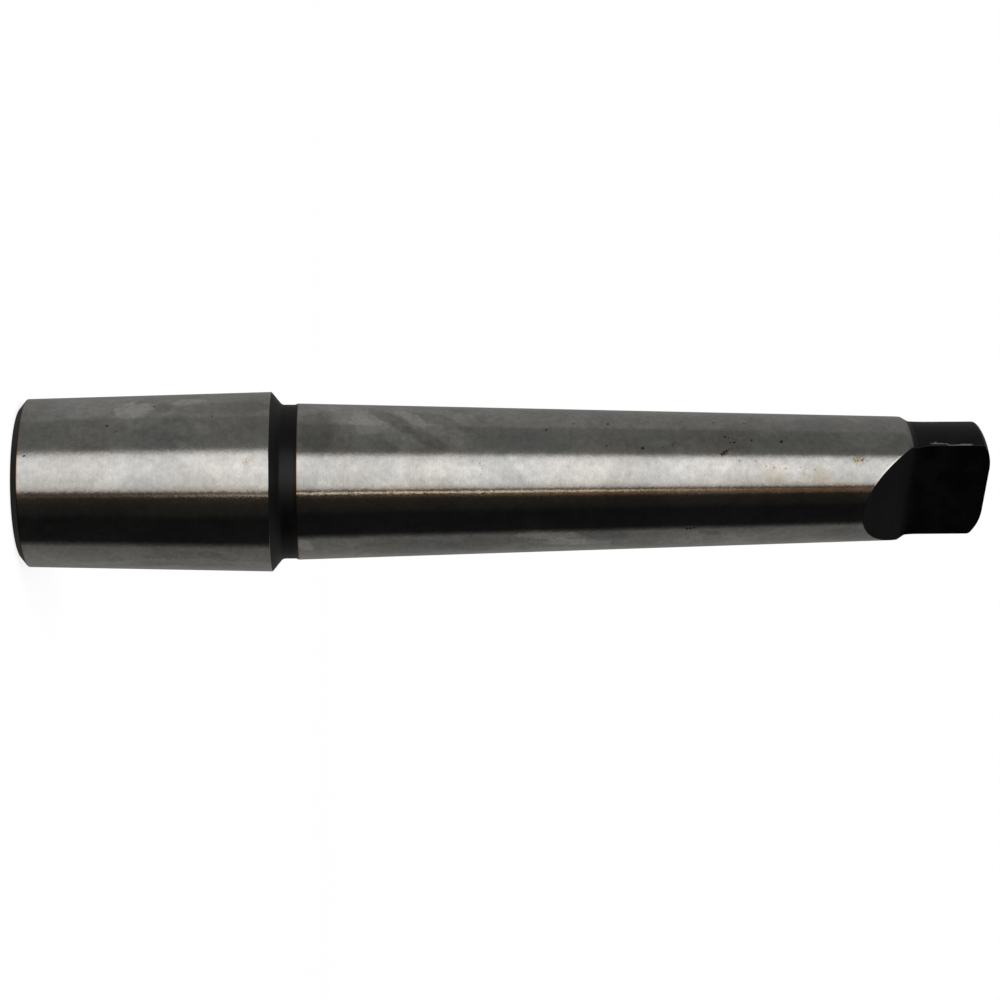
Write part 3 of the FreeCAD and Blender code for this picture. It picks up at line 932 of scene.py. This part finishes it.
def make_ground_steel():
    """Ground steel: faint grinding lines round the axis, smudges whose lighter and darker tone is
    partly painted sheen, soft stains, rust pits, and a painted highlight along the crescent's rim.
    """
    n = Nodes("ground_steel")
    lines = n.noise(0.35, 9.0, detail=4.0, roughness=0.65)
    clouds = n.noise(0.17, 0.12, detail=3.0, roughness=0.5, shift=3.1, distortion=0.7)
    warmth = n.noise(0.10, 0.12, detail=2.0, shift=21.7)
    warm_steel, cool_steel = (0.634, 0.612, 0.590), (0.612, 0.613, 0.608)
    colour = n.mix(n.spread(warmth, 0.35, 0.65), warm_steel, cool_steel)
    level = steel_brightness(n, lines, clouds)
    bright = n.add("ShaderNodeCombineColor")
    for socket in bright.inputs[:3]:
        n.feed(socket, level)
    colour = n.mix(1.0, colour, bright.outputs[0], blend="MULTIPLY")
    pits, haze = rust(n)
    colour = n.mix(haze, colour, (0.40, 0.32, 0.17))
    colour = n.mix(pits, colour, (0.05, 0.026, 0.014))
    n.feed(n.shader.inputs["Base Color"], tint_ends_and_paint_highlight(n, colour))
    n.shader.inputs["Metallic"].default_value = 1.0

    # The gloss is drawn out round the axis, as grinding leaves it
    gloss = n.spread(clouds, 0.46, 0.54, 0.090, 0.110)
    gloss = n.math("ADD", gloss, n.spread(lines, 0.3, 0.7, -0.02, 0.02, smooth=False))
    gloss = n.math("ADD", gloss, n.math("MULTIPLY", pits, 0.2))
    n.feed(n.shader.inputs["Roughness"], gloss)
    n.shader.inputs["Anisotropic"].default_value = 0.6
    n.shader.inputs["Anisotropic Rotation"].default_value = 0.25
    tangent = n.add("ShaderNodeTangent", direction_type="RADIAL", axis="Z")
    n.feed(n.shader.inputs["Tangent"], tangent.outputs[0])

    fine = n.noise(1.3, 12.0, detail=3.0, roughness=0.7, shift=11.0)
    grain = n.noise(5.0, 7.0, detail=2.0, shift=5.0)
    ridges = n.noise(1.6, 2.6, detail=2.0, shift=9.0)
    height = n.math("ADD", n.math("MULTIPLY", fine, 0.8), n.math("MULTIPLY", grain, 1.2))
    height = n.math("ADD", height, n.math("MULTIPLY", ridges, 3.2))
    height = n.math("SUBTRACT", height, n.math("MULTIPLY", pits, 2.0))
    n.bump(height, 1.0, STEEL_BUMP)
    return n.material


# Worn line along the tang's long edge: the heights where it starts, where it
# narrows and where it ends, its reach, and how far below the flat it goes
WORN_START = (104.0, 104.5)
WORN_NARROWS = (105.8, 106.3)
WORN_END = (109.2, 108.4)
WORN_REACH = (0.60, 0.24)
WORN_BOTTOM = (-0.20, -0.03)
OXIDE_BUMP = 3e-6


def make_black_oxide(name, smoothest, roughest, shine):
    """Black oxide, worn to bare metal along the tang's long edge."""
    n = Nodes(name)
    clouds = n.noise(0.3, 0.3, detail=4.0, roughness=0.6)
    grain = n.noise(6.0, 6.0, detail=3.0, roughness=0.6, shift=4.0)
    colour = n.mix(n.spread(clouds, 0.35, 0.65), (0.0006, 0.0006, 0.0008), (0.0015, 0.0015, 0.0017))

    parts = n.add("ShaderNodeSeparateXYZ")
    n.feed(parts.inputs[0], n.place)
    x, y, z = parts.outputs
    half_width = math.sqrt(TANG_RADIUS**2 - FLAT_OFFSET**2) * MM
    side = n.math("ADD", x, half_width)
    deep = n.math("SUBTRACT", n.math("ABSOLUTE", y), FLAT_OFFSET * MM)
    square = n.math("ADD", n.math("MULTIPLY", side, side), n.math("MULTIPLY", deep, deep))
    ragged = n.spread(n.noise(1.2, 1.1, detail=3.0, shift=2.0), 0.3, 0.6, 0.35, 1.0)
    reach = n.fade(z, WORN_NARROWS, *(r * MM for r in WORN_REACH))
    bottom = n.fade(z, WORN_NARROWS, *(b * MM for b in WORN_BOTTOM))
    worn = n.math("LESS_THAN", n.math("SQRT", square), n.math("MULTIPLY", ragged, reach))
    worn = n.math("MULTIPLY", worn, n.math("LESS_THAN", deep, bottom))
    worn = n.math("MULTIPLY", worn, n.fade(z, WORN_START))
    worn = n.math("MULTIPLY", worn, n.fade(z, WORN_END))
    colour = n.mix(n.math("MULTIPLY", worn, 0.8), colour, (0.15, 0.145, 0.13))
    n.feed(n.shader.inputs["Base Color"], colour)
    n.feed(n.shader.inputs["Metallic"], n.math("MULTIPLY", worn, 0.6))
    n.feed(n.shader.inputs["Roughness"], n.spread(clouds, 0.3, 0.7, smoothest, roughest))
    n.shader.inputs["Specular IOR Level"].default_value = shine
    n.bump(grain, 0.6, OXIDE_BUMP)
    return n.material


def make_camera():
    data = bpy.data.cameras.new("camera")
    data.lens = CAMERA_LENS
    data.sensor_width = SENSOR
    data.clip_start = 0.01
    camera = bpy.data.objects.new("camera", data)
    bpy.context.scene.collection.objects.link(camera)
    forward = -towards * math.cos(CAMERA_YAW) + upright * math.sin(CAMERA_YAW)
    level = upright * math.cos(CAMERA_YAW) + towards * math.sin(CAMERA_YAW)
    right = level * math.cos(CAMERA_ROLL) + picture_up * math.sin(CAMERA_ROLL)
    up = picture_up * math.cos(CAMERA_ROLL) - level * math.sin(CAMERA_ROLL)
    place = towards * CAMERA_DISTANCE + picture_up * CAMERA_SIDE + upright * CAMERA_HEIGHT
    turn = Matrix((right, up, -forward)).transposed()
    camera.matrix_world = Matrix.Translation(place * MM) @ turn.to_4x4()
    bpy.context.scene.camera = camera


# Studio: what the ground steel mirrors round the arbor, by the angle in degrees
# from the camera's side towards the picture's top. Each has its colour.
SURROUND = [
    (-180, (0.205, 0.204, 0.196)),
    (-150, (0.200, 0.199, 0.190)),
    (-106, (0.145, 0.144, 0.137)),
    (-96, (0.130, 0.129, 0.122)),
    (-90, (0.045, 0.044, 0.042)),
    (-85, (0.010, 0.010, 0.010)),
    (-50, (0.008, 0.008, 0.008)),
    (-42, (0.016, 0.015, 0.013)),
    (-30, (0.022, 0.019, 0.015)),
    (-21, (0.034, 0.028, 0.022)),
    (-18.4, (0.100, 0.074, 0.058)),
    (-16.5, (0.070, 0.054, 0.048)),
    (-14.5, (0.080, 0.064, 0.058)),
    (-13, (0.300, 0.255, 0.215)),
    (-11, (0.600, 0.560, 0.510)),
    (-5, (0.860, 0.835, 0.790)),
    (6, (0.990, 0.975, 0.950)),
    (18, (1.100, 1.085, 1.060)),
    (30, (1.020, 1.010, 0.990)),
    (35, (0.860, 0.850, 0.830)),
    (39, (0.480, 0.472, 0.458)),
    (43, (0.185, 0.182, 0.175)),
    (48, (0.142, 0.144, 0.136)),
    (70, (0.129, 0.131, 0.122)),
    (90, (0.143, 0.145, 0.136)),
    (95, (0.190, 0.189, 0.181)),
    (140, (0.210, 0.209, 0.202)),
    (180, (0.205, 0.204, 0.196)),
]
TENT_RADIUS = 0.6
TENT_CENTRE = 0.05

# Lines in it, by the same angle: a soft brown one higher up, and a thin gold one. Each
# has its half width in degrees, its colour, the heights from the tent's middle
# where it comes in, and those where it goes out, down to the share that is left.
TENT_LINES = [
    (-20.5, 4.8, (0.160, 0.097, 0.058), (-0.03, 0.12), (0.50, 0.60), 1.0),
    (-17.6, 1.10, (1.35, 1.18, 0.84), (-0.13, -0.02), (0.09, 0.17), 0.05),
]


def add_line(n, ground, angle, height, degrees, width, paint, comes, goes, left):
    """The ground colour with a soft upright line over it."""
    away = n.math("ABSOLUTE", n.math("SUBTRACT", angle, math.radians(degrees)))
    share = n.spread(away, math.radians(width), math.radians(width * 0.4), smooth=False)
    share = n.math("MULTIPLY", share, n.spread(height, *comes, smooth=False))
    share = n.math("MULTIPLY", share, n.spread(height, *goes, 1.0, left, smooth=False))
    return n.mix(share, ground, paint)


def make_tent():
    """A ball about the arbor that only reflections see."""
    bpy.ops.mesh.primitive_uv_sphere_add(
        segments=96, ring_count=48, radius=TENT_RADIUS, location=(0, 0, TENT_CENTRE)
    )
    tent = bpy.context.object
    tent.name = "tent"
    tent.rotation_euler = (0, 0, math.atan2(towards.y, towards.x))
    n = Nodes("surround")
    n.tree.nodes.remove(n.shader)
    parts = n.add("ShaderNodeSeparateXYZ")
    n.feed(parts.inputs[0], n.place)
    x, y, z = parts.outputs
    angle = n.math("ARCTAN2", n.math("MULTIPLY", y, -1.0), x)
    ramp = n.add("ShaderNodeValToRGB")
    n.feed(ramp.inputs[0], n.math("MULTIPLY_ADD", angle, 1 / (2 * math.pi), 0.5))
    stops = ramp.color_ramp.elements
    while len(stops) < len(SURROUND):
        stops.new(0.5)
    for stop, (degrees, colour) in zip(stops, SURROUND):
        stop.position = 0.5 + degrees / 360
        stop.color = (*colour, 1)
    colour = ramp.outputs[0]
    for line in TENT_LINES:
        colour = add_line(n, colour, angle, z, *line)
    emission = n.add("ShaderNodeEmission")
    n.feed(emission.inputs["Color"], colour)
    n.feed(n.tree.nodes["Material Output"].inputs["Surface"], emission.outputs[0])
    tent.data.materials.append(n.material)
    for kind in ("camera", "diffuse", "transmission", "volume_scatter", "shadow"):
        setattr(tent, f"visible_{kind}", False)


FLOOR_SIZE = 3.0
FLOOR_GLOW = 0.85


def make_floor():
    """A pale floor that shows as white and keeps the arbor's soft shadow."""
    bpy.ops.mesh.primitive_plane_add(size=FLOOR_SIZE, location=(0, 0, 0))
    floor = bpy.context.object
    floor.name = "floor"
    n = Nodes("pale_floor")
    n.shader.inputs["Base Color"].default_value = (0.95, 0.95, 0.95, 1)
    n.shader.inputs["Roughness"].default_value = 0.9
    glow = n.add("ShaderNodeEmission")
    seen = n.add("ShaderNodeLightPath")
    mix = n.add("ShaderNodeMixShader")
    n.feed(mix.inputs[0], n.math("MULTIPLY", seen.outputs["Is Camera Ray"], FLOOR_GLOW))
    n.feed(mix.inputs[1], n.shader.outputs[0])
    n.feed(mix.inputs[2], glow.outputs[0])
    n.feed(n.tree.nodes["Material Output"].inputs["Surface"], mix.outputs[0])
    floor.data.materials.append(n.material)
    floor.visible_glossy = False


# The lamp's place: towards the camera, up in the picture, and up, in metres
LAMP_WATTS = 4.0
LAMP_SIZE = 0.5
LAMP_PLACE = (0.45, 0.25, 0.45)
LAMP_TARGET_HEIGHT = 0.05


def make_lamp():
    """A soft lamp on the bright side, which reflections don't see."""
    data = bpy.data.lights.new("soft_lamp", "AREA")
    data.energy = LAMP_WATTS
    data.size = LAMP_SIZE
    lamp = bpy.data.objects.new("soft_lamp", data)
    bpy.context.scene.collection.objects.link(lamp)
    place = towards * LAMP_PLACE[0] + picture_up * LAMP_PLACE[1] + upright * LAMP_PLACE[2]
    lamp.location = place
    aim = place - upright * LAMP_TARGET_HEIGHT
    lamp.rotation_euler = aim.to_track_quat("Z", "Y").to_euler()
    lamp.visible_glossy = False
    lamp.visible_camera = False


def make_world():
    """Even white light from all round, which is also the picture's background."""
    world = bpy.data.worlds.new("world")
    bpy.context.scene.world = world
    world.use_nodes = True
    world.node_tree.nodes["Background"].inputs["Color"].default_value = (1, 1, 1, 1)


steel = make_ground_steel()
turned_oxide = make_black_oxide("black_oxide", 0.36, 0.46, 0.38)
milled_oxide = make_black_oxide("black_oxide_milled", 0.24, 0.30, 0.13)
skin = build_skin()
arbor = make_mesh("arbor_ground", skin, [steel, turned_oxide, milled_oxide])
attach(arbor, "root")
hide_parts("arbor")

make_camera()
make_tent()
make_floor()
make_lamp()
make_world()
bpy.context.scene.view_settings.view_transform = "Standard"
